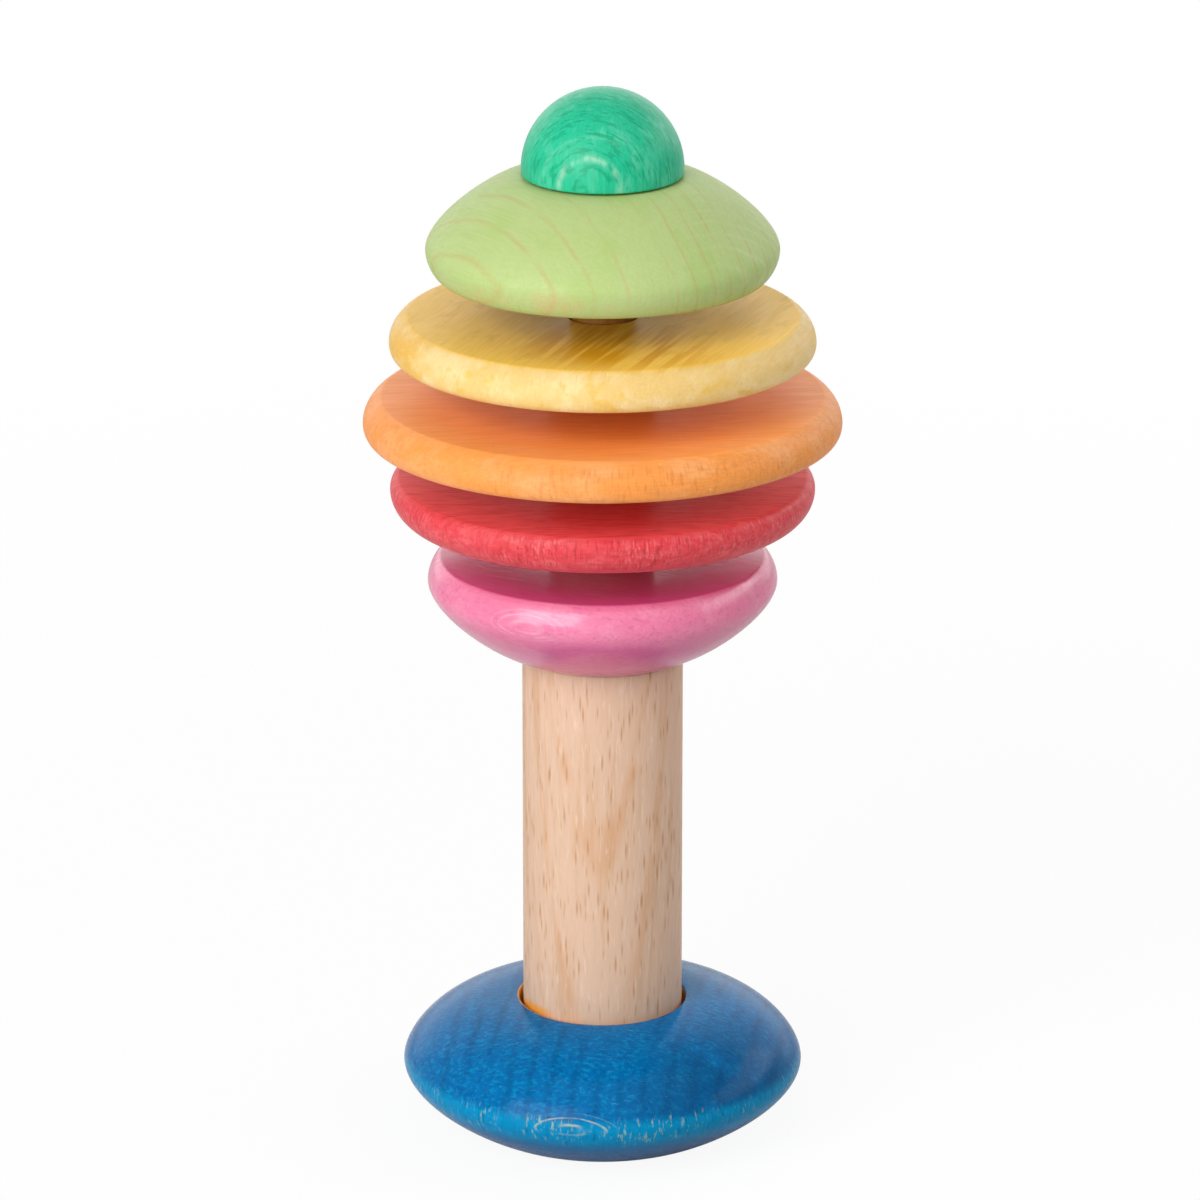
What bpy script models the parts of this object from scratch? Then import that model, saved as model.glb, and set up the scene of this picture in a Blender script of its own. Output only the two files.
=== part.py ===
"""Wooden rattle tree: a beech handle on a pebble base, with five dyed discs and a half-ball on top.

The pink and the green disc are glued on. The red, orange and yellow discs sit loose on a spindle,
each on its own spacer ring, so they spin, and clack against the green disc when shaken.
Metres, +Z up. The foot of the base is on Z = 0 and everything is turned about the Z axis.
"""
import math

import bpy
from mathutils import Vector
from mathutils.geometry import interpolate_bezier

MM = 0.001

# Clearances, each measured between the two pieces
SEAT_GAP = 0.3 * MM             # faces that rest on each other
GLUE_GAP = 0.3 * MM             # round the spindle where it is glued
RUNNING_GAP = 0.5 * MM          # round the spindle inside a loose piece
SOCKET_GAP = 0.6 * MM           # round the handle in the base, wide enough to see
FREE_TRAVEL = 6.6 * MM          # between the yellow and the green disc, for the loose stack to jump

# Base: a pebble with a flat foot and a blind socket
BASE_DIAMETER = 62.9 * MM
BASE_RIM_HEIGHT = 10.3 * MM     # height of the widest ring above the foot
BASE_UNDERCUT = 12.7 * MM       # how far the foot's edge lies inside the rim
BASE_CROWN = 10.4 * MM          # rise from the rim to the socket's mouth
BASE_FLOOR = 8.1 * MM           # wood left under the socket

# Handle and spindle
HANDLE_DIAMETER = 25.0 * MM
HANDLE_LENGTH = 69.8 * MM
HANDLE_CHAMFER = 0.6 * MM
SPINDLE_DIAMETER = 10.0 * MM
SPINDLE_CHAMFER = 0.8 * MM
SPINDLE_DEPTH = 27.0 * MM       # how deep the spindle sits in the handle

# Pink and green discs: one shape, the pink one crown down, the green one crown up
CROWN_DISC_DIAMETER = 54.2 * MM
CROWN_RISE = 11.5 * MM          # from the widest ring to the seat
CROWN_LIP_RISE = 3.95 * MM      # from the widest ring to the flat face
CROWN_LIP_RUN = 2.2 * MM        # from the widest ring in to the flat face

# Loose discs: a deep sloping edge on one side, a shallow rounded one on the other
MIDDLE_DISC_DIAMETER = 65.6 * MM
LARGE_DISC_DIAMETER = 73.8 * MM
DEEP_EDGE_RISE = 4.2 * MM
DEEP_EDGE_RUN = 3.0 * MM
SHALLOW_EDGE_RISE = 1.95 * MM
SHALLOW_EDGE_RUN = 1.5 * MM

# Spacer rings
RING_HEIGHT = 6.1 * MM
RING_WALL = 2.5 * MM

# Half-ball
BALL_DIAMETER = 25.0 * MM
BALL_SKIRT = 0.8 * MM           # how far the ball's centre lies above its flat face
BALL_ROOF = 5.3 * MM            # wood left over the end of the spindle's bore

# Shape of the round stretches: how far the curve keeps upright at the widest ring and flat at the face,
# each as a share of the rise and of the run; 0.55 for both is close to an ellipse
ELLIPSE = (0.55, 0.55)
CROWN_CURVE = (0.32, 0.31)
CROWN_LIP_CURVE = (0.45, 0.4)
DEEP_EDGE_CURVE = (0.63, 0.22)
BASE_TOP_CURVE = (0.27, 0.7)
BASE_UNDER_CURVE = (0.42, 0.12)

# Facets
TURN_STEPS = 40
LONG_CURVE_STEPS = 9
SHORT_CURVE_STEPS = 5
MERGE_DISTANCE = 0.005 * MM
SHARP_ANGLE = math.radians(32)

# Radii that more than one piece shares
HANDLE_RADIUS = HANDLE_DIAMETER / 2
BALL_RADIUS = BALL_DIAMETER / 2
SPINDLE_RADIUS = SPINDLE_DIAMETER / 2
GLUED_BORE_RADIUS = SPINDLE_RADIUS + GLUE_GAP
LOOSE_BORE_RADIUS = SPINDLE_RADIUS + RUNNING_GAP

# Thickness of the stacked pieces
BASE_HEIGHT = BASE_RIM_HEIGHT + BASE_CROWN
CROWN_DISC_THICKNESS = CROWN_RISE + CROWN_LIP_RISE
LOOSE_DISC_THICKNESS = DEEP_EDGE_RISE + SHALLOW_EDGE_RISE
BALL_HEIGHT = BALL_SKIRT + BALL_RADIUS
BALL_BORE_DEPTH = BALL_HEIGHT - BALL_ROOF

# Heights of the fixed pieces' lower ends, stacked up from the foot
HANDLE_Z = BASE_FLOOR + SEAT_GAP
SPINDLE_Z = HANDLE_Z + HANDLE_LENGTH - SPINDLE_DEPTH + SEAT_GAP
PINK_Z = HANDLE_Z + HANDLE_LENGTH + SEAT_GAP
LOOSE_STACK_Z = PINK_Z + CROWN_DISC_THICKNESS
RING_TO_DISC = RING_HEIGHT + SEAT_GAP
RING_TO_RING = RING_TO_DISC + LOOSE_DISC_THICKNESS + SEAT_GAP
LOOSE_DISC_COUNT = 3
GREEN_Z = LOOSE_STACK_Z + LOOSE_DISC_COUNT * RING_TO_RING + FREE_TRAVEL
BALL_Z = GREEN_Z + CROWN_DISC_THICKNESS + SEAT_GAP
SPINDLE_LENGTH = BALL_Z + BALL_BORE_DEPTH - SEAT_GAP - SPINDLE_Z


def start_collection():
    """Clear the scene and return the collection that holds the pieces."""
    for old in list(bpy.data.objects):
        bpy.data.objects.remove(old, do_unlink=True)
    collection = bpy.data.collections.new("wooden_rattle_tree")
    bpy.context.scene.collection.children.link(collection)
    return collection


def wood(name, colour, roughness):
    """A plain wood finish: bare beech, or maple stained in one colour."""
    material = bpy.data.materials.new(name)
    material.use_nodes = True
    shader = material.node_tree.nodes["Principled BSDF"]
    shader.inputs["Base Color"].default_value = (*colour, 1.0)
    shader.inputs["Roughness"].default_value = roughness
    shader.inputs["Metallic"].default_value = 0.0
    return material


def turned_piece(collection, name, outline, material, is_ring=False):
    """Turn an outline of (radius, height) points about Z into one closed solid.

    The outline runs down the outer side. A ring's outline closes on itself, and any other one
    starts and ends on the axis.
    """
    edges = [(i, i + 1) for i in range(len(outline) - 1)]
    if is_ring:
        edges.append((len(outline) - 1, 0))
    profile = bpy.data.meshes.new(name + "_profile")
    profile.from_pydata([(radius, 0.0, height) for radius, height in outline], edges, [])
    piece = bpy.data.objects.new(name, profile)
    collection.objects.link(piece)

    screw = piece.modifiers.new("Turn", "SCREW")
    screw.axis = "Z"
    screw.angle = 2 * math.pi
    screw.steps = TURN_STEPS
    screw.render_steps = TURN_STEPS
    screw.use_merge_vertices = True
    screw.merge_threshold = MERGE_DISTANCE

    evaluated = piece.evaluated_get(bpy.context.evaluated_depsgraph_get())
    solid = bpy.data.meshes.new_from_object(evaluated)
    piece.modifiers.remove(screw)
    piece.data = solid
    bpy.data.meshes.remove(profile)
    solid.name = name
    solid.shade_smooth()
    solid.set_sharp_from_angle(angle=SHARP_ANGLE)
    solid.materials.append(material)
    return piece


def round_stretch(side, height, run, rise, curve, steps):
    """A curve from a piece's widest ring, where it stands upright, in to the edge of a flat face.

    A positive rise goes up to an upper face, a negative one down to a lower face.
    """
    upright, flat = curve
    widest = Vector((side, height))
    face_edge = Vector((side - run, height + rise))
    above_widest = widest + Vector((0.0, upright * rise))
    beside_edge = face_edge + Vector((flat * run, 0.0))
    points = interpolate_bezier(widest, above_widest, beside_edge, face_edge, steps + 1)
    return [tuple(point) for point in points]


def lens_outline(side, height, upper, lower):
    """The outer side of a round piece, from its upper face's edge down to its lower face's edge."""
    upper_points = round_stretch(side, height, *upper)
    lower_points = round_stretch(side, height, *lower)
    return upper_points[::-1] + lower_points[1:]


def rod_outline(radius, length, chamfer):
    """The outer side of a rod with both ends chamfered, from the top end down."""
    return [
        (radius - chamfer, length),
        (radius, length - chamfer),
        (radius, chamfer),
        (radius - chamfer, 0.0),
    ]


def base_outline():
    """A pebble whose top ends at the mouth of the handle's socket."""
    side = BASE_DIAMETER / 2
    socket = HANDLE_RADIUS + SOCKET_GAP
    upper = (side - socket, BASE_CROWN, BASE_TOP_CURVE, LONG_CURVE_STEPS)
    lower = (BASE_UNDERCUT, -BASE_RIM_HEIGHT, BASE_UNDER_CURVE, LONG_CURVE_STEPS)
    pebble = lens_outline(side, BASE_RIM_HEIGHT, upper, lower)
    return [(0.0, BASE_FLOOR), (socket, BASE_FLOOR)] + pebble + [(0.0, 0.0)]


def handle_outline():
    """A rod with a blind bore for the spindle in its upper end."""
    rod = rod_outline(HANDLE_RADIUS, HANDLE_LENGTH, HANDLE_CHAMFER)
    bore_floor = HANDLE_LENGTH - SPINDLE_DEPTH
    bore = [(0.0, bore_floor), (GLUED_BORE_RADIUS, bore_floor), (GLUED_BORE_RADIUS, HANDLE_LENGTH)]
    return bore + rod + [(0.0, 0.0)]


def spindle_outline():
    """A plain dowel from inside the handle to inside the half-ball."""
    rod = rod_outline(SPINDLE_RADIUS, SPINDLE_LENGTH, SPINDLE_CHAMFER)
    return [(0.0, SPINDLE_LENGTH)] + rod + [(0.0, 0.0)]


def crown_disc_outline(seat_radius, crown_up):
    """A disc with one flat face and one swelling side that ends in a flat seat."""
    side = CROWN_DISC_DIAMETER / 2
    crown = (side - seat_radius, CROWN_RISE, CROWN_CURVE, LONG_CURVE_STEPS)
    lip = (CROWN_LIP_RUN, CROWN_LIP_RISE, CROWN_LIP_CURVE, SHORT_CURVE_STEPS)
    return two_sided_outline(side, crown, lip, crown_up, GLUED_BORE_RADIUS)


def loose_disc_outline(diameter, deep_edge_up):
    """A flat disc with a deep sloping edge on one side and a shallow rounded one on the other."""
    deep = (DEEP_EDGE_RUN, DEEP_EDGE_RISE, DEEP_EDGE_CURVE, SHORT_CURVE_STEPS)
    shallow = (SHALLOW_EDGE_RUN, SHALLOW_EDGE_RISE, ELLIPSE, SHORT_CURVE_STEPS)
    return two_sided_outline(diameter / 2, deep, shallow, deep_edge_up, LOOSE_BORE_RADIUS)


def two_sided_outline(side, main_edge, other_edge, main_up, bore):
    """A bored disc with a different edge on each face, standing on height 0."""
    upper = main_edge if main_up else other_edge
    run, rise, curve, steps = other_edge if main_up else main_edge
    outer = lens_outline(side, rise, upper, (run, -rise, curve, steps))
    return [(bore, outer[0][1])] + outer + [(bore, 0.0)]


def ring_outline():
    """A short tube that turns on the spindle."""
    outside = LOOSE_BORE_RADIUS + RING_WALL
    return [
        (LOOSE_BORE_RADIUS, RING_HEIGHT),
        (outside, RING_HEIGHT),
        (outside, 0.0),
        (LOOSE_BORE_RADIUS, 0.0),
    ]


def half_ball_outline():
    """A ball cut off flat just below its middle, with a blind bore in the flat face."""
    lowest = -math.asin(BALL_SKIRT / BALL_RADIUS)
    ball = [(0.0, BALL_HEIGHT)]
    for step in range(1, LONG_CURVE_STEPS + 1):
        angle = 0.5 * math.pi + (lowest - 0.5 * math.pi) * step / LONG_CURVE_STEPS
        ball.append((BALL_RADIUS * math.cos(angle), BALL_SKIRT + BALL_RADIUS * math.sin(angle)))
    ball[-1] = (ball[-1][0], 0.0)
    bore = [(GLUED_BORE_RADIUS, 0.0), (GLUED_BORE_RADIUS, BALL_BORE_DEPTH), (0.0, BALL_BORE_DEPTH)]
    return ball + bore


def build():
    collection = start_collection()
    beech = wood("bare_beech", (0.74, 0.53, 0.37), 0.55)
    blue = wood("blue_stained_maple", (0.01, 0.16, 0.42), 0.42)
    pink = wood("pink_stained_maple", (0.80, 0.19, 0.40), 0.42)
    red = wood("red_stained_maple", (0.67, 0.06, 0.07), 0.45)
    orange = wood("orange_stained_maple", (0.88, 0.33, 0.09), 0.45)
    yellow = wood("yellow_stained_maple", (0.80, 0.54, 0.13), 0.45)
    lime = wood("lime_stained_maple", (0.42, 0.58, 0.17), 0.45)
    teal = wood("teal_stained_maple", (0.03, 0.44, 0.26), 0.42)

    turned_piece(collection, "base", base_outline(), blue)
    handle = turned_piece(collection, "handle", handle_outline(), beech)
    handle.location.z = HANDLE_Z
    spindle = turned_piece(collection, "spindle", spindle_outline(), beech)
    spindle.location.z = SPINDLE_Z

    pink_outline = crown_disc_outline(HANDLE_RADIUS, crown_up=False)
    pink_disc = turned_piece(collection, "pink_disc", pink_outline, pink, is_ring=True)
    pink_disc.location.z = PINK_Z
    green_outline = crown_disc_outline(BALL_RADIUS, crown_up=True)
    green_disc = turned_piece(collection, "green_disc", green_outline, lime, is_ring=True)
    green_disc.location.z = GREEN_Z
    half_ball = turned_piece(collection, "half_ball", half_ball_outline(), teal)
    half_ball.location.z = BALL_Z

    # The loose stack, from the bottom: each disc turns on its ring, and each ring lifts off the last
    loose_stack = [
        ("lower_ring", "red_disc", MIDDLE_DISC_DIAMETER, False, red),
        ("middle_ring", "orange_disc", LARGE_DISC_DIAMETER, True, orange),
        ("upper_ring", "yellow_disc", MIDDLE_DISC_DIAMETER, True, yellow),
    ]
    ring_below = None
    for ring_name, disc_name, diameter, deep_edge_up, stain in loose_stack:
        ring = turned_piece(collection, ring_name, ring_outline(), beech, is_ring=True)
        ring.parent = ring_below
        ring.location.z = RING_TO_RING if ring_below else LOOSE_STACK_Z + SEAT_GAP
        disc_outline = loose_disc_outline(diameter, deep_edge_up)
        disc = turned_piece(collection, disc_name, disc_outline, stain, is_ring=True)
        disc.parent = ring
        disc.location.z = RING_TO_DISC
        ring_below = ring


build()
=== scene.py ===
"""Looks of the wooden rattle tree: turned pieces of stained maple and bare beech, in soft studio light.

Every piece is turned about the Z axis, at the place and size that its node has in the frame.
"""
import math

import bmesh
import bpy
from mathutils import Matrix, Vector
from mathutils.geometry import interpolate_bezier


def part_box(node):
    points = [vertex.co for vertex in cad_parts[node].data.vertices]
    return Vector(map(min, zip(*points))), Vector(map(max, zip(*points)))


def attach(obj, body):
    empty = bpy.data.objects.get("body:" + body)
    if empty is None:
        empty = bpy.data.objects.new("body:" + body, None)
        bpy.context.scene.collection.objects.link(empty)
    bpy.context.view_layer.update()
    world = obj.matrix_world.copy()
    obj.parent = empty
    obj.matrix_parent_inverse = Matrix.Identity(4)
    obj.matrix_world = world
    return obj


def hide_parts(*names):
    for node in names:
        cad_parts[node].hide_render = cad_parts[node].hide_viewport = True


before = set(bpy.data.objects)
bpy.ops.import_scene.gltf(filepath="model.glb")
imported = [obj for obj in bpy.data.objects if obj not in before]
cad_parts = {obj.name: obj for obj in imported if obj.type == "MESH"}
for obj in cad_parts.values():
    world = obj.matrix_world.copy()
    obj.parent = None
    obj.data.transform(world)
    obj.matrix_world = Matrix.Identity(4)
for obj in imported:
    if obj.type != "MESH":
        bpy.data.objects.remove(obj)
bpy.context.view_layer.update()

MM = 0.001

# Sizes that the outlines share with the solids
RIM_HEIGHT = 10.3 * MM           # base: the widest ring above the foot
UNDERCUT = 12.7 * MM             # base: from the widest ring in to the foot
SOCKET_GAP = 0.6 * MM            # base: round the handle
SEAT_GAP = 0.3 * MM              # between faces that rest on each other
CROWN_RISE = 11.5 * MM           # pink and green: from the widest ring to the seat
LIP_RUN = 2.2 * MM               # pink and green: from the widest ring in to the flat face
DEEP_RISE = 4.2 * MM             # loose discs: the deep sloping edge
DEEP_RUN = 3.0 * MM
SHALLOW_RUN = 1.5 * MM           # loose discs: the shallow edge on the other face
BALL_SKIRT = 0.8 * MM            # half-ball: its centre above the flat face
BALL_ROOF = 5.3 * MM             # half-ball: wood over the spindle
SPINDLE_DEPTH = 27.0 * MM
GLUE_GAP = 0.3 * MM              # round the spindle, where a piece is glued to it
RUNNING_GAP = 0.5 * MM           # round the spindle, where a piece is loose on it

# What the solids leave out: eased edges, and bare wood on the left of the socket's mouth
SOCKET_EDGE = 0.35 * MM
HANDLE_EDGE = 0.6 * MM
SPINDLE_EDGE = 0.8 * MM
BORE_EDGE = 0.4 * MM
RING_EDGE = 0.5 * MM
BALL_EDGE = 0.3 * MM
BARE_WIDTH = 0.3 * MM
BARE_FROM = -0.3                 # where it begins, left of the axis, as a share of the socket's radius

# Shape of the round stretches: how far the curve keeps upright at the widest ring and flat at the face
ELLIPSE = (0.55, 0.55)
CROWN_CURVE = (0.32, 0.31)
LIP_CURVE = (0.45, 0.4)
DEEP_CURVE = (0.63, 0.22)
TOP_CURVE = (0.27, 0.7)
UNDER_CURVE = (0.42, 0.12)

# Mesh fineness
TURN_STEPS = 192
CURVE_STEPS = 28
EDGE_STEPS = 4
SHARP_ANGLE = math.radians(50)
MERGE_DISTANCE = 0.001 * MM
SAME_PLACE = 0.02 * MM


def turned(name, outline, is_ring=False, eased=()):
    """Spin an outline of (radius, height) points about Z, and ease the edges listed as (point, width)."""
    shape = bmesh.new()
    points = [shape.verts.new((radius, 0.0, height)) for radius, height in outline]
    lines = [shape.edges.new(pair) for pair in zip(points, points[1:])]
    if is_ring:
        lines.append(shape.edges.new((points[-1], points[0])))
    bmesh.ops.spin(shape, geom=points + lines, cent=(0, 0, 0), axis=(0, 0, 1), dvec=(0, 0, 0),
                   angle=2 * math.pi, steps=TURN_STEPS, use_merge=True, use_duplicate=False)
    bmesh.ops.remove_doubles(shape, verts=shape.verts, dist=MERGE_DISTANCE)
    bmesh.ops.recalc_face_normals(shape, faces=shape.faces)
    for (radius, height), width in eased:
        circle = [edge for edge in shape.edges if lies_on_circle(edge, radius, height)]
        bmesh.ops.bevel(shape, geom=circle, offset=width, offset_type="OFFSET", segments=EDGE_STEPS,
                        profile=0.5, affect="EDGES", material=-1)
    mesh = bpy.data.meshes.new(name)
    shape.to_mesh(mesh)
    shape.free()
    mesh.shade_smooth()
    mesh.set_sharp_from_angle(angle=SHARP_ANGLE)
    piece = bpy.data.objects.new(name, mesh)
    bpy.context.scene.collection.objects.link(piece)
    return piece


def lies_on_circle(edge, radius, height):
    """Whether both ends of an edge lie on the turned circle of one outline point."""
    for corner in edge.verts:
        off_radius = math.hypot(corner.co.x, corner.co.y) - radius
        if abs(off_radius) > SAME_PLACE or abs(corner.co.z - height) > SAME_PLACE:
            return False
    return True


def round_stretch(side, height, run, rise, curve):
    """A curve from a piece's widest ring, where it stands upright, in to the edge of a flat face."""
    upright, flat = curve
    widest = Vector((side, height))
    face_edge = Vector((side - run, height + rise))
    above_widest = widest + Vector((0.0, upright * rise))
    beside_edge = face_edge + Vector((flat * run, 0.0))
    points = interpolate_bezier(widest, above_widest, beside_edge, face_edge, CURVE_STEPS + 1)
    return [tuple(point) for point in points]


def lens(side, height, upper, lower):
    """The outer side of a round piece from its upper face's edge down to its lower face's edge."""
    return round_stretch(side, height, *upper)[::-1] + round_stretch(side, height, *lower)[1:]


def radius_and_heights(node):
    """A node's outer radius, lower height and upper height."""
    low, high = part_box(node)
    return high.x, low.z, high.z


HANDLE_RADIUS, HANDLE_LOW, HANDLE_HIGH = radius_and_heights("handle")
SPINDLE_RADIUS, SPINDLE_LOW, SPINDLE_HIGH = radius_and_heights("spindle")
BALL_RADIUS, BALL_LOW, BALL_HIGH = radius_and_heights("half_ball")
GLUED_BORE = SPINDLE_RADIUS + GLUE_GAP
LOOSE_BORE = SPINDLE_RADIUS + RUNNING_GAP


def make_base():
    """A pebble with a blind socket, whose wall and left edge the stain did not reach."""
    side, foot, mouth = radius_and_heights("base")
    socket = HANDLE_RADIUS + SOCKET_GAP
    floor = HANDLE_LOW - SEAT_GAP
    upper = (side - socket, mouth - RIM_HEIGHT, TOP_CURVE)
    lower = (UNDERCUT, foot - RIM_HEIGHT, UNDER_CURVE)
    outline = [(0.0, floor), (socket, floor)] + lens(side, RIM_HEIGHT, upper, lower) + [(0.0, foot)]
    base = turned("base_pebble", outline, eased=[((socket, mouth), SOCKET_EDGE)])
    for face in base.data.polygons:
        bare_edge = socket + (BARE_WIDTH if face.center.x < BARE_FROM * socket else 0.0)
        in_socket = math.hypot(face.center.x, face.center.y) < bare_edge and face.center.z > foot + SEAT_GAP
        face.material_index = 1 if in_socket else 0
    return base


def make_handle():
    """A straight rod with softened ends and a blind bore for the spindle."""
    floor = HANDLE_HIGH - SPINDLE_DEPTH
    outline = [
        (0.0, floor), (GLUED_BORE, floor), (GLUED_BORE, HANDLE_HIGH), (HANDLE_RADIUS, HANDLE_HIGH),
        (HANDLE_RADIUS, HANDLE_LOW), (0.0, HANDLE_LOW),
    ]
    ends = [((HANDLE_RADIUS, height), HANDLE_EDGE) for height in (HANDLE_LOW, HANDLE_HIGH)]
    return turned("beech_handle", outline, eased=ends)


def make_spindle():
    """A plain dowel with rounded ends."""
    outline = [
        (0.0, SPINDLE_HIGH), (SPINDLE_RADIUS, SPINDLE_HIGH),
        (SPINDLE_RADIUS, SPINDLE_LOW), (0.0, SPINDLE_LOW),
    ]
    ends = [((SPINDLE_RADIUS, height), SPINDLE_EDGE) for height in (SPINDLE_LOW, SPINDLE_HIGH)]
    return turned("beech_spindle", outline, eased=ends)


def make_crown_disc(node, name, seat, crown_up):
    """A disc with one flat face and one swelling side that ends in a flat seat."""
    side, low, high = radius_and_heights(node)
    crown = (side - seat, CROWN_RISE, CROWN_CURVE)
    lip = (LIP_RUN, high - low - CROWN_RISE, LIP_CURVE)
    return make_disc(name, side, low, high, crown, lip, crown_up, GLUED_BORE)


def make_loose_disc(node, name, deep_up):
    """A flat disc with a deep sloping edge on one face and a shallow rounded one on the other."""
    side, low, high = radius_and_heights(node)
    deep = (DEEP_RUN, DEEP_RISE, DEEP_CURVE)
    shallow = (SHALLOW_RUN, high - low - DEEP_RISE, ELLIPSE)
    return make_disc(name, side, low, high, deep, shallow, deep_up, LOOSE_BORE)


def make_disc(name, side, low, high, main_edge, other_edge, main_up, bore):
    """A bored disc whose two faces have different edges."""
    upper = main_edge if main_up else other_edge
    run, rise, curve = other_edge if main_up else main_edge
    outer = lens(side, low + rise, upper, (run, -rise, curve))
    outline = [(bore, high)] + outer + [(bore, low)]
    bore_ends = [((bore, height), BORE_EDGE) for height in (low, high)]
    return turned(name, outline, is_ring=True, eased=bore_ends)


def make_ring(node, name):
    """A short tube with softened edges."""
    side, low, high = radius_and_heights(node)
    corners = [(LOOSE_BORE, high), (side, high), (side, low), (LOOSE_BORE, low)]
    return turned(name, corners, is_ring=True, eased=[(corner, RING_EDGE) for corner in corners])


def make_half_ball():
    """A ball cut off flat just below its middle, bored for the spindle."""
    centre = BALL_LOW + BALL_SKIRT
    lowest = -math.asin(BALL_SKIRT / BALL_RADIUS)
    top = 0.5 * math.pi
    steps = 2 * CURVE_STEPS
    ball = [(0.0, centre + BALL_RADIUS)]
    for step in range(1, steps):
        angle = top + (lowest - top) * step / steps
        ball.append((BALL_RADIUS * math.cos(angle), centre + BALL_RADIUS * math.sin(angle)))
    edge = (BALL_RADIUS * math.cos(lowest), BALL_LOW)
    bore_top = BALL_HIGH - BALL_ROOF
    outline = ball + [edge, (GLUED_BORE, BALL_LOW), (GLUED_BORE, bore_top), (0.0, bore_top)]
    return turned("half_ball_top", outline, eased=[(edge, BALL_EDGE)])


WHITE = (1, 1, 1, 1)
WOOD_IOR = 1.45
MIX_FROM, MIX_TO, MIX_RESULT = 6, 7, 2       # the colour sockets of a Mix node

# Grain. Real fibres, pores and ticks are too fine to show in the picture, so they are drawn coarser
FIBRE_SIZE = (7, 0.4, 0.4)                   # mm along, outward and across
FIBRE_RELIEF = 0.1 * MM
TICK_PATCH = 16                              # mm, the stretches of a rim with and without ticks
WAVER_PER_MM = 0.12                          # how often a growth line wavers
BRIGHTENING = 0.6                            # of the palest fibres, against the darkening of the others
ROUGHER, SMOOTHER = 0.07, 0.05               # how far the roughness differs between and along the fibres


def linear(hex_colour):
    """A colour written as sRGB hex, as the linear values that shaders take."""
    channels = [int(hex_colour[i:i + 2], 16) / 255 for i in (1, 3, 5)]
    return (*[c / 12.92 if c <= 0.04045 else ((c + 0.055) / 1.055) ** 2.4 for c in channels], 1.0)


def put(tree, kind, inputs=None, **settings):
    """Add one node: its settings by name, its inputs as values or as sockets to link."""
    node = tree.nodes.new(kind)
    for key, value in settings.items():
        setattr(node, key, value)
    for key, value in (inputs or {}).items():
        if isinstance(value, bpy.types.NodeSocket):
            tree.links.new(value, node.inputs[key])
        else:
            node.inputs[key].default_value = value
    return node


def grain_space(tree, node, along, outward):
    """Millimetres from a node's middle, with X along the fibres and Y out from the heart of the log."""
    fibres = Vector(along).normalized()
    across = fibres.cross(Vector(outward)).normalized()
    turn = Matrix((fibres, across.cross(fibres), across)).transposed().to_euler()
    low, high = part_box(node)
    place = put(tree, "ShaderNodeTexCoord").outputs["Object"]
    return put(tree, "ShaderNodeMapping", {
        "Vector": place, "Location": (low + high) / 2, "Rotation": turn, "Scale": (MM, MM, MM),
    }, vector_type="TEXTURE").outputs[0]


def flecks(tree, grain, size, span, strength, detail=2.0, shift=0.0):
    """A mask of soft flecks, of a size in mm along, outward and across; span is where the noise sets in."""
    space = put(tree, "ShaderNodeMapping", {
        "Vector": grain, "Scale": [1 / length for length in size], "Location": (shift, shift, shift)})
    noise = put(tree, "ShaderNodeTexNoise", {
        "Vector": space.outputs[0], "Scale": 1.0, "Detail": detail, "Roughness": 0.6})
    return put(tree, "ShaderNodeMapRange", {
        "Value": noise.outputs["Fac"], "From Min": span[0], "From Max": span[1], "To Max": strength,
    }, interpolation_type="SMOOTHSTEP").outputs[0]


def stripes(tree, grain, place, spacing, width, wander, patch=14.0):
    """A mask of thin wavering lines at even steps of a place in mm, one at 0, broken up in patches."""
    waver = put(tree, "ShaderNodeTexNoise", {"Vector": grain, "Scale": WAVER_PER_MM, "Detail": 2.0})
    wavy = put(tree, "ShaderNodeMath", {
        0: waver.outputs["Fac"], 1: 2 * wander, 2: place}, operation="MULTIPLY_ADD")
    middle = put(tree, "ShaderNodeMath", {0: wavy.outputs[0], 1: wander}, operation="SUBTRACT")
    nearest = put(tree, "ShaderNodeMath", {0: middle.outputs[0], 1: spacing / 2}, operation="PINGPONG")
    line = put(tree, "ShaderNodeMapRange", {
        "Value": nearest.outputs[0], "From Min": width, "From Max": 0.0,
    }, interpolation_type="SMOOTHSTEP")
    patches = flecks(tree, grain, size=(patch, 0.6 * patch, 0.6 * patch), span=(0.3, 0.6), strength=1.0)
    return put(tree, "ShaderNodeMath", {0: line.outputs[0], 1: patches}, operation="MULTIPLY").outputs[0]


def growth_lines(tree, grain, spacing, line_at, width, strength, reach, pith=200.0, wander=0.4, patch=14.0):
    """A mask of the thin lines in which growth rings end, in mm outward from the node's middle.

    One line lies at line_at. The lines are full up to the first depth of reach from it, and gone at the
    second. The heart of the log is as far behind the middle as pith says.
    """
    section = put(tree, "ShaderNodeMapping", {"Vector": grain, "Location": (0, pith, 0), "Scale": (0, 1, 1)})
    ring = put(tree, "ShaderNodeVectorMath", {0: section.outputs[0]}, operation="LENGTH")
    depth = put(tree, "ShaderNodeMath", {0: ring.outputs["Value"], 1: pith + line_at}, operation="SUBTRACT")
    lines = stripes(tree, grain, depth.outputs[0], spacing, width, wander, patch)
    fade = put(tree, "ShaderNodeMapRange", {
        "Value": depth.outputs[0], "From Min": reach[1], "From Max": reach[0], "To Max": strength})
    return put(tree, "ShaderNodeMath", {0: lines, 1: fade.outputs[0]}, operation="MULTIPLY").outputs[0]


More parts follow.
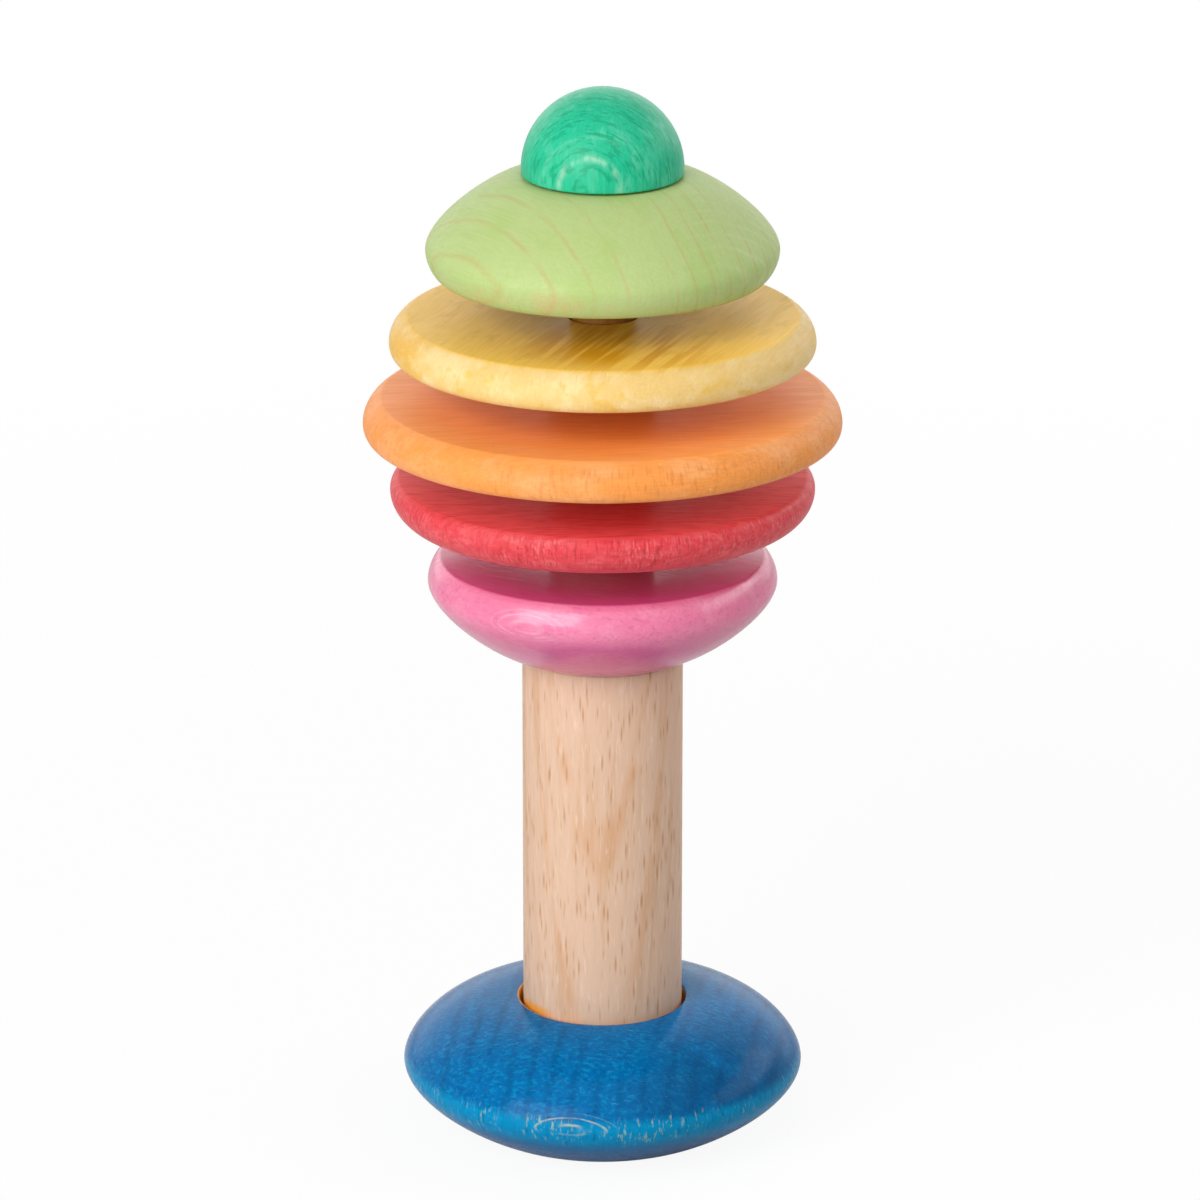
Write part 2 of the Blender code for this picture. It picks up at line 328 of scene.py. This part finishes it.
def ray_lines(tree, grain, spacing, width, strength, wander):
    """A mask of the straight lines that rays draw across the fibres of a flat face."""
    along = put(tree, "ShaderNodeSeparateXYZ", {0: grain})
    lines = stripes(tree, grain, along.outputs["X"], spacing, width, wander)
    return put(tree, "ShaderNodeMath", {0: lines, 1: strength}, operation="MULTIPLY").outputs[0]


def facing(tree, grain, span, strength, tilt=0.0):
    """A mask of how level the surface lies, from an upright side at 0 to a flat face at 1, up or down.

    Span is where the mask sets in and where it is full. A tilt moves the 0 to sides that face down by that
    much, or up where it is less than 0.
    """
    normal = put(tree, "ShaderNodeSeparateXYZ", {0: put(tree, "ShaderNodeTexCoord").outputs["Normal"]})
    tilted = put(tree, "ShaderNodeMath", {0: normal.outputs["Z"], 1: tilt}, operation="ADD")
    level = put(tree, "ShaderNodeMath", {0: tilted.outputs[0]}, operation="ABSOLUTE")
    return put(tree, "ShaderNodeMapRange", {
        "Value": level.outputs[0], "From Min": span[0], "From Max": span[1], "To Max": strength,
    }, interpolation_type="SMOOTHSTEP").outputs[0]


def rim_ticks(tree, grain, radius, strength, width=0.45, height=2.5, span=(0.5, 0.72), shift=0.0,
              rim=(0.92, 0.6), tilt=0.0):
    """A mask of short upright ticks where the rim cuts through fibre ends, none on the flat faces."""
    place = put(tree, "ShaderNodeTexCoord").outputs["Object"]
    level = put(tree, "ShaderNodeVectorMath", {0: place, 1: (1, 1, 0)}, operation="MULTIPLY")
    spoke = put(tree, "ShaderNodeVectorMath", {0: level.outputs[0]}, operation="NORMALIZE")
    rise = put(tree, "ShaderNodeVectorMath", {0: place, 1: (0, 0, 1 / (height * MM))}, operation="MULTIPLY")
    space = put(tree, "ShaderNodeVectorMath", {
        0: spoke.outputs[0], 1: [radius / width] * 3, 2: rise.outputs[0]}, operation="MULTIPLY_ADD")
    noise = put(tree, "ShaderNodeTexNoise", {
        "Vector": space.outputs[0], "Scale": 1.0, "Detail": 3.0, "Roughness": 0.65})
    tick = put(tree, "ShaderNodeMapRange", {
        "Value": noise.outputs["Fac"], "From Min": span[0], "From Max": span[1], "To Max": strength,
    }, interpolation_type="SMOOTHSTEP")
    upright = facing(tree, grain, span=rim, strength=1.0, tilt=tilt)
    patches = flecks(tree, grain, size=[TICK_PATCH] * 3, span=(0.35, 0.6), strength=1.0, shift=shift)
    on_rim = put(tree, "ShaderNodeMath", {0: tick.outputs[0], 1: upright}, operation="MULTIPLY")
    return put(tree, "ShaderNodeMath", {0: on_rim.outputs[0], 1: patches}, operation="MULTIPLY").outputs[0]


def ray_dashes(tree, grain, size, reach, strength):
    """A mask of the short dashes that wood shows where its rays end."""
    space = put(tree, "ShaderNodeMapping", {"Vector": grain, "Scale": [1 / length for length in size]})
    cells = put(tree, "ShaderNodeTexVoronoi", {"Vector": space.outputs[0], "Scale": 1.0})
    return put(tree, "ShaderNodeMapRange", {
        "Value": cells.outputs["Distance"], "From Min": reach, "From Max": 0.1 * reach, "To Max": strength,
    }, interpolation_type="SMOOTHSTEP").outputs[0]


def near(tree, grain, spot, extent, pattern, **settings):
    """Another pattern's mask, kept to one spot: its place and its extent in mm along, outward and across."""
    offset = put(tree, "ShaderNodeMapping", {"Vector": grain, "Location": spot, "Scale": extent},
                 vector_type="TEXTURE")
    away = put(tree, "ShaderNodeVectorMath", {0: offset.outputs[0]}, operation="LENGTH")
    fade = put(tree, "ShaderNodeMapRange", {
        "Value": away.outputs["Value"], "From Min": 1.0, "From Max": 0.3}, interpolation_type="SMOOTHSTEP")
    mask = pattern(tree, grain, **settings)
    return put(tree, "ShaderNodeMath", {0: mask, 1: fade.outputs[0]}, operation="MULTIPLY").outputs[0]


def wood(name, node, along, outward, ground, layers, roughness, gloss, fibre_depth=0.08):
    """Wood of one ground colour under layers of (tint, pattern, settings), with fibres over all."""
    material = bpy.data.materials.new(name)
    material.use_nodes = True
    tree = material.node_tree
    shader = tree.nodes["Principled BSDF"]
    grain = grain_space(tree, node, along, outward)
    colour = linear(ground)
    for tint, pattern, settings in layers:
        mask = pattern(tree, grain, **settings)
        layer = put(tree, "ShaderNodeMix", {
            0: mask, MIX_FROM: colour, MIX_TO: linear(tint)}, data_type="RGBA")
        colour = layer.outputs[MIX_RESULT]
    fibre = flecks(tree, grain, size=FIBRE_SIZE, span=(0.25, 0.75), strength=1.0)
    shade = put(tree, "ShaderNodeMapRange", {
        "Value": fibre, "To Min": 1 - fibre_depth, "To Max": 1 + BRIGHTENING * fibre_depth})
    shaded = put(tree, "ShaderNodeMix", {0: 1.0, MIX_FROM: colour, MIX_TO: shade.outputs[0]},
                 data_type="RGBA", blend_type="MULTIPLY")
    satin = put(tree, "ShaderNodeMapRange", {
        "Value": fibre, "To Min": roughness + ROUGHER, "To Max": roughness - SMOOTHER})
    relief = put(tree, "ShaderNodeBump", {"Strength": 0.15, "Distance": FIBRE_RELIEF, "Height": fibre})
    tree.links.new(shaded.outputs[MIX_RESULT], shader.inputs["Base Color"])
    tree.links.new(satin.outputs[0], shader.inputs["Roughness"])
    tree.links.new(relief.outputs[0], shader.inputs["Normal"])
    shader.inputs["IOR"].default_value = WOOD_IOR
    shader.inputs["Specular IOR Level"].default_value = gloss
    return material


UP = (0, 0, 1)

# Bare beech: pinkish cream, with short brown ray dashes along the fibres
beech = wood("bare_beech", "handle", (0, 0.087, 1), (-0.05, -1, 0.087), "#DDBA9F", [
    ("#CCA07A", flecks, dict(size=(45, 2, 2), span=(0.48, 0.7), strength=0.5)),
    ("#D09868", growth_lines, dict(
        spacing=3.0, line_at=13.0, width=0.6, strength=0.5, reach=(0, -14), wander=0.25)),
    ("#ECD2BB", flecks, dict(size=(6, 0.5, 0.5), span=(0.56, 0.74), strength=0.5, shift=5.0)),
    ("#B67C4C", ray_dashes, dict(size=(7.5, 2.0, 0.85), reach=0.31, strength=0.65)),
    ("#BC8456", ray_dashes, dict(size=(5.5, 1.6, 0.7), reach=0.29, strength=0.55)),
    # painted light: amber on the handle at the left of the socket's mouth, standing in for the bounce-lit
    # socket wall
    ("#E8A030", near, dict(spot=(-23.2, 4.5, -10.8), extent=(1.5, 8, 5), pattern=flecks, size=(9, 9, 9),
                           span=(0.1, 0.2), strength=0.9)),
], roughness=0.55, gloss=0.3, fibre_depth=0.04)

# The socket's wall: maple that the stain did not reach, in an amber that is partly its bare tone and partly
# painted light bounced between the wall and the handle
amber_maple = wood("bare_maple_painted_bounce", "base", (0, 1, 0), UP, "#F2A63A", [
    ("#B8762A", flecks, dict(size=(6, 2, 2), span=(0.45, 0.7), strength=0.7)),
], roughness=0.5, gloss=0.3)

# The spindle: beech painted dark, as painted shade where it shows in the gap under the green disc
spindle_beech_painted_shade = wood("spindle_beech_painted_shade", "spindle", UP, (0, -1, 0), "#A8702F", [
    ("#7C4F26", flecks, dict(size=(12, 1.5, 1.5), span=(0.45, 0.7), strength=0.7)),
], roughness=0.45, gloss=0.3)

# Maple under a water stain and a satin oil: fine pores, blotches where the stain soaked in,
# and pale lines where the late wood of each growth ring took less of it

# Base: deep blue with dark bands across the fibres, and a brighter rim with pale ticks and a bull's-eye
blue = wood("blue_stained_maple", "base", (0.988, -0.157, 0), (-0.157, -0.988, 0), "#006BAA", [
    ("#0A98CE", flecks, dict(size=(0.9, 0.6, 0.6), span=(0.46, 0.7), strength=0.55)),
    ("#004A86", flecks, dict(size=(1.0, 0.6, 0.6), span=(0.5, 0.7), strength=0.5, shift=3.0)),
    ("#004478", ray_lines, dict(spacing=3.6, width=1.1, strength=0.4, wander=0.9)),
    ("#00406E", near, dict(spot=(19, 15, 0), extent=(24, 24, 14), pattern=flecks, size=(9, 9, 9),
                           span=(0.2, 0.5), strength=0.65)),
    # partly the stain, partly painted light from the floor: a brighter cyan on the upright rim
    ("#009CCC", facing, dict(span=(0.7, 0.4), strength=0.6, tilt=0.2)),
    # painted shade: a darker blue on the sides that face down
    ("#00467C", facing, dict(span=(1.0, 1.35), strength=0.6, tilt=-0.5)),
    ("#2F6E78", ray_dashes, dict(size=(2.2, 9, 5), reach=0.13, strength=0.5)),
    ("#7FB2C0", flecks, dict(size=(7, 0.25, 0.5), span=(0.69, 0.76), strength=0.3, shift=9.0)),
    ("#00548F", rim_ticks, dict(radius=31.0, strength=0.7, width=0.6, height=2.5, shift=2.0)),
    ("#CFCBA6", near, dict(spot=(0, 31, -1.2), extent=(14, 14, 2.6), pattern=growth_lines, spacing=0.4,
                           line_at=31.33, width=0.08, strength=0.75, reach=(-0.4, -0.85), wander=0.1,
                           patch=3.0)),
    ("#B4C486", rim_ticks, dict(radius=31.4, strength=0.75, width=0.5, height=1.8, span=(0.54, 0.7),
                                shift=4.0, rim=(0.6, 0.4), tilt=0.1)),
], roughness=0.12, gloss=0.07, fibre_depth=0.06)

# Pink disc: painted shade on the flat face, in the gap under the red disc, and underneath, with a faint
# bull's-eye at the front
pink = wood("pink_stained_maple", "pink_disc", (0.9, -0.43, 0), (-0.43, -0.9, 0), "#EB7BA2", [
    ("#F39AB9", flecks, dict(size=(9, 4, 4), span=(0.45, 0.75), strength=0.5)),
    ("#D55A8C", flecks, dict(size=(1.6, 0.8, 0.8), span=(0.5, 0.72), strength=0.4, shift=3.0)),
    # painted shade: the flat face, in the gap under the red disc, in a deeper pink
    ("#D4468A", facing, dict(span=(0.8, 0.98), strength=0.8)),
    # painted shade: a darker pink on the sides that face down
    ("#CF5086", facing, dict(span=(0.8, 1.25), strength=0.5, tilt=-0.5)),
    ("#C44A7C", near, dict(spot=(0, 10, 7), extent=(40, 30, 3), pattern=ray_lines, spacing=2.5, width=0.9,
                           strength=0.5, wander=0.8)),
    ("#FBDADF", growth_lines, dict(
        spacing=0.3, line_at=27.0, width=0.1, strength=0.24, reach=(-0.3, -0.9), wander=0.06, patch=5.0)),
    ("#D55A8C", rim_ticks, dict(radius=27.0, strength=0.15)),
], roughness=0.2, gloss=0.6)

# Red disc: dark and pale ticks round the rim, where it cuts through fibre ends
red = wood("red_stained_maple", "red_disc", (1, 0.06, 0), (-0.06, 1, 0), "#E24A52", [
    ("#EC6B70", flecks, dict(size=(4, 2, 2), span=(0.45, 0.7), strength=0.6)),
    # painted light: the flat faces, which lie in the gaps between the discs, in a brighter red
    ("#F6585E", facing, dict(span=(0.8, 0.98), strength=0.7)),
    ("#D23640", flecks, dict(size=(4, 0.8, 0.8), span=(0.46, 0.68), strength=0.5, shift=3.0)),
    ("#F4A3A0", rim_ticks, dict(radius=32.0, strength=0.35, width=0.4, height=1.2, shift=5.0)),
    ("#B3222C", rim_ticks, dict(radius=32.8, strength=0.65, width=0.4, height=1.8, span=(0.46, 0.68),
                                shift=3.0)),
], roughness=0.42, gloss=0.2)

# Orange disc: even, with soft paler blotches and fine ticks round the rim
orange = wood("orange_stained_maple", "orange_disc", (1, 0.1, 0), (-0.1, 1, 0), "#F69C4C", [
    ("#FAB072", flecks, dict(size=(12, 5, 5), span=(0.42, 0.68), strength=0.6)),
    ("#F0924A", flecks, dict(size=(5, 0.8, 0.8), span=(0.48, 0.72), strength=0.5, shift=3.0)),
    # partly the stain, partly painted light: the flat faces, which lie in the gaps between the discs, in a
    # brighter orange
    ("#FFA655", facing, dict(span=(0.8, 0.98), strength=0.6)),
    ("#CE7236", rim_ticks, dict(radius=36.9, strength=0.5, width=0.45, height=1.8, span=(0.47, 0.7),
                                shift=3.0)),
    ("#FBD9B4", flecks, dict(size=(0.7, 0.7, 1.2), span=(0.72, 0.78), strength=0.8, shift=11.0)),
], roughness=0.45, gloss=0.3)

# Yellow disc: a pale rim round a deeper face, the face partly its stain and partly painted light and shade
# of the gap, with ochre streaks along the fibres at the front
yellow = wood("yellow_stained_maple", "yellow_disc", (0.36, 0.93, 0), (0.93, -0.36, 0), "#EEC87C", [
    ("#F6DCA2", flecks, dict(size=(10, 5, 5), span=(0.42, 0.68), strength=0.7)),
    # partly the stain, partly painted light: the flat faces in a deeper, brighter yellow than the rim
    ("#FFCA50", facing, dict(span=(0.8, 0.98), strength=0.9)),
    # partly the stain's streaks, partly painted shade: darker amber streaks towards the middle of the face,
    # under the green disc
    ("#F0A62C", near, dict(spot=(0, 0, 3), extent=(26, 26, 5), pattern=flecks, size=(30, 2, 6),
                           span=(0.2, 0.5), strength=0.7)),
    ("#EBBB46", flecks, dict(size=(7, 4, 3), span=(0.54, 0.68), strength=0.6, shift=7.0)),
    ("#E9B23A", near, dict(spot=(-20, -24, 0), extent=(14, 10, 6), pattern=flecks, size=(8, 6, 4),
                           span=(0.35, 0.6), strength=0.8)),
    ("#E09A00", near, dict(spot=(-15.5, 8, -3), extent=(16, 20, 1.2), pattern=flecks, size=(30, 1.8, 6),
                           span=(0.4, 0.54), strength=0.9, detail=1.0, shift=6.0)),
    ("#D3AA5C", rim_ticks, dict(radius=32.8, strength=0.3, width=0.4)),
    ("#FBF0D6", flecks, dict(size=(0.7, 0.7, 1.2), span=(0.72, 0.78), strength=0.8, shift=11.0)),
], roughness=0.45, gloss=0.3, fibre_depth=0.05)

# Green disc: pale, with tan growth rings in wide arcs
lime = wood("lime_stained_maple", "green_disc", (0.588, -0.809, 0), (-0.809, -0.588, 0), "#B6C983", [
    ("#A8C26A", flecks, dict(size=(16, 6, 6), span=(0.45, 0.7), strength=0.5)),
    ("#BFA565", growth_lines, dict(
        spacing=4.45, line_at=25.9, width=0.5, strength=0.45, reach=(-12, -20), pith=30.0)),
    ("#BFA565", growth_lines, dict(
        spacing=3.2, line_at=5.7, width=0.4, strength=0.4, reach=(-1, 4), pith=30.0)),
    ("#CDB67C", near, dict(spot=(12, 22, 6), extent=(26, 12, 3.5), pattern=flecks, size=(3, 3, 6),
                           span=(0.46, 0.62), strength=0.5)),
    ("#CBD89C", near, dict(spot=(16, -14, 0), extent=(26, 20, 14), pattern=ray_lines, spacing=2.0,
                           width=0.4, strength=0.35, wander=1.0)),
    ("#9DBB62", rim_ticks, dict(radius=27.0, strength=0.35)),
], roughness=0.48, gloss=0.3, fibre_depth=0.04)

# Half-ball: mottled, with pale arches where the growth rings come out at the front
teal = wood("teal_stained_maple", "half_ball", UP, (-0.18, -0.98, 0), "#22BC8F", [
    ("#58CBA5", flecks, dict(size=(7, 2, 2), span=(0.45, 0.7), strength=0.6)),
    ("#069A6E", flecks, dict(size=(2.5, 0.35, 2.4), span=(0.5, 0.66), strength=0.7, shift=3.0)),
    ("#A8DCC0", growth_lines, dict(
        spacing=1.6, line_at=11.6, width=0.3, strength=0.65, reach=(0.3, -2.2), wander=0.2, patch=3.0)),
    ("#069A6E", rim_ticks, dict(radius=12.5, strength=0.5, width=0.35)),
], roughness=0.36, gloss=0.25)


def dress(piece, node, body, slot, *finishes):
    """Give a piece its finishes, and let it stand for its node and ride on its body."""
    for finish in finishes:
        piece.data.materials.append(finish)
    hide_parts(node)
    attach(piece, body)


dress(make_base(), "base", "stand", "blue_wood", blue, amber_maple)
dress(make_handle(), "handle", "stand", "bare_beech", beech)
dress(make_spindle(), "spindle", "stand", "bare_beech", spindle_beech_painted_shade)
pink_disc = make_crown_disc("pink_disc", "pink_crown_disc", HANDLE_RADIUS, crown_up=False)
dress(pink_disc, "pink_disc", "stand", "pink_wood", pink)
green_disc = make_crown_disc("green_disc", "lime_crown_disc", BALL_RADIUS, crown_up=True)
dress(green_disc, "green_disc", "stand", "lime_wood", lime)
dress(make_half_ball(), "half_ball", "stand", "teal_wood", teal)
for ring in ("lower_ring", "middle_ring", "upper_ring"):
    dress(make_ring(ring, "beech_" + ring), ring, ring, "bare_beech", beech)
for colour, finish, deep_up in (("red", red, False), ("orange", orange, True), ("yellow", yellow, True)):
    disc = colour + "_disc"
    dress(make_loose_disc(disc, colour + "_loose_disc", deep_up), disc, disc, colour + "_wood", finish)


def direction(azimuth, elevation):
    """A unit vector from the object, azimuth from the front towards the right, in degrees."""
    turn, lift = math.radians(azimuth), math.radians(elevation)
    return Vector((math.sin(turn) * math.cos(lift), -math.cos(turn) * math.cos(lift), math.sin(lift)))


AIM = Vector((-0.4 * MM, 0, 86.35 * MM))      # the point in the middle of the picture
CAMERA_DISTANCE = 1.1017
CAMERA_ELEVATION = 18.6
LENS = 212.98                                 # in mm, on a sensor of this width
SENSOR_WIDTH = 36.0


def make_camera():
    """A long lens looking a little down on the object."""
    lens_data = bpy.data.cameras.new("camera")
    lens_data.lens = LENS
    lens_data.sensor_width = SENSOR_WIDTH
    camera = bpy.data.objects.new("camera", lens_data)
    towards = direction(0, CAMERA_ELEVATION)
    camera.location = AIM + towards * CAMERA_DISTANCE
    camera.rotation_euler = towards.to_track_quat("Z", "Y").to_euler()
    bpy.context.scene.collection.objects.link(camera)
    bpy.context.scene.camera = camera


def make_softbox(name, azimuth, elevation, distance, width, height, level):
    """A lamp turned to the object; level is how bright it makes a white surface that faces it."""
    lamp = bpy.data.lights.new(name, "AREA")
    lamp.shape = "RECTANGLE"
    lamp.size = width
    lamp.size_y = height
    lamp.energy = level * math.pi ** 2 * distance ** 2
    holder = bpy.data.objects.new(name, lamp)
    holder.visible_camera = False
    towards = direction(azimuth, elevation)
    holder.location = AIM + towards * distance
    holder.rotation_euler = towards.to_track_quat("Z", "Y").to_euler()
    bpy.context.scene.collection.objects.link(holder)


ROOM_LEVEL = 0.12
FLOOR_SIZE = 8.0
FLOOR_BOUNCE = 0.7               # share of the light that the floor throws back
FLOOR_GLOW = 0.92                # share of pure white near the object; the rest shows its shadow
SHADOW_REACH = (0.12, 0.5)       # metres from the axis where that share begins to rise, and where it is 1


def background_rays(tree):
    """The rays that see the background directly or through glass, and these with the reflected ones."""
    ray = put(tree, "ShaderNodeLightPath")
    seen = put(tree, "ShaderNodeMath", {
        0: ray.outputs["Is Camera Ray"], 1: ray.outputs["Is Transmission Ray"]}, operation="MAXIMUM")
    shown = put(tree, "ShaderNodeMath", {
        0: seen.outputs[0], 1: ray.outputs["Is Glossy Ray"]}, operation="MAXIMUM")
    return seen.outputs[0], shown.outputs[0]


def make_room():
    """A white room: white to the camera and in reflections, dim as a light."""
    world = bpy.data.worlds.new("white_room")
    bpy.context.scene.world = world
    world.use_nodes = True
    tree = world.node_tree
    shown = background_rays(tree)[1]
    level = put(tree, "ShaderNodeMapRange", {"Value": shown, "To Min": ROOM_LEVEL, "To Max": 1.0})
    back = tree.nodes["Background"]
    back.inputs["Color"].default_value = WHITE
    tree.links.new(level.outputs[0], back.inputs["Strength"])


def make_floor():
    """A wide white floor that keeps the object's soft shadow, and throws back only some of the light."""
    bpy.ops.mesh.primitive_plane_add(size=FLOOR_SIZE, location=(0, 0, 0))
    floor = bpy.context.object
    floor.name = "floor"
    material = bpy.data.materials.new("white_card")
    material.use_nodes = True
    tree = material.node_tree
    shader = tree.nodes["Principled BSDF"]
    shader.inputs["Roughness"].default_value = 0.9
    shader.inputs["Specular IOR Level"].default_value = 0.0
    seen, shown = background_rays(tree)
    bounce = (FLOOR_BOUNCE, FLOOR_BOUNCE, FLOOR_BOUNCE, 1)
    card = put(tree, "ShaderNodeMix", {0: shown, MIX_FROM: bounce, MIX_TO: WHITE}, data_type="RGBA")
    tree.links.new(card.outputs[MIX_RESULT], shader.inputs["Base Color"])
    glow = put(tree, "ShaderNodeEmission", {"Color": WHITE, "Strength": 1.0})
    place = put(tree, "ShaderNodeTexCoord").outputs["Object"]
    away = put(tree, "ShaderNodeVectorMath", {0: place}, operation="LENGTH")
    white = put(tree, "ShaderNodeMapRange", {
        "Value": away.outputs["Value"], "From Min": SHADOW_REACH[0], "From Max": SHADOW_REACH[1],
        "To Min": FLOOR_GLOW, "To Max": 1.0}, interpolation_type="SMOOTHSTEP")
    share = put(tree, "ShaderNodeMath", {0: seen, 1: white.outputs[0]}, operation="MULTIPLY")
    mixed = put(tree, "ShaderNodeMixShader", {0: share.outputs[0], 1: shader.outputs[0], 2: glow.outputs[0]})
    tree.links.new(mixed.outputs[0], tree.nodes["Material Output"].inputs["Surface"])
    floor.data.materials.append(material)


make_camera()
make_room()
make_floor()
make_softbox("key_softbox", azimuth=-37, elevation=24, distance=1.2, width=0.85, height=0.85, level=0.95)
make_softbox("right_strip", azimuth=103, elevation=26, distance=1.2, width=1.3, height=0.4, level=0.31)
make_softbox("lit_backdrop", azimuth=180, elevation=23, distance=1.3, width=2.6, height=1.2, level=0.43)
make_softbox("ceiling", azimuth=20, elevation=60, distance=1.3, width=1.8, height=1.6, level=0.35)
bpy.context.scene.view_settings.view_transform = "Standard"
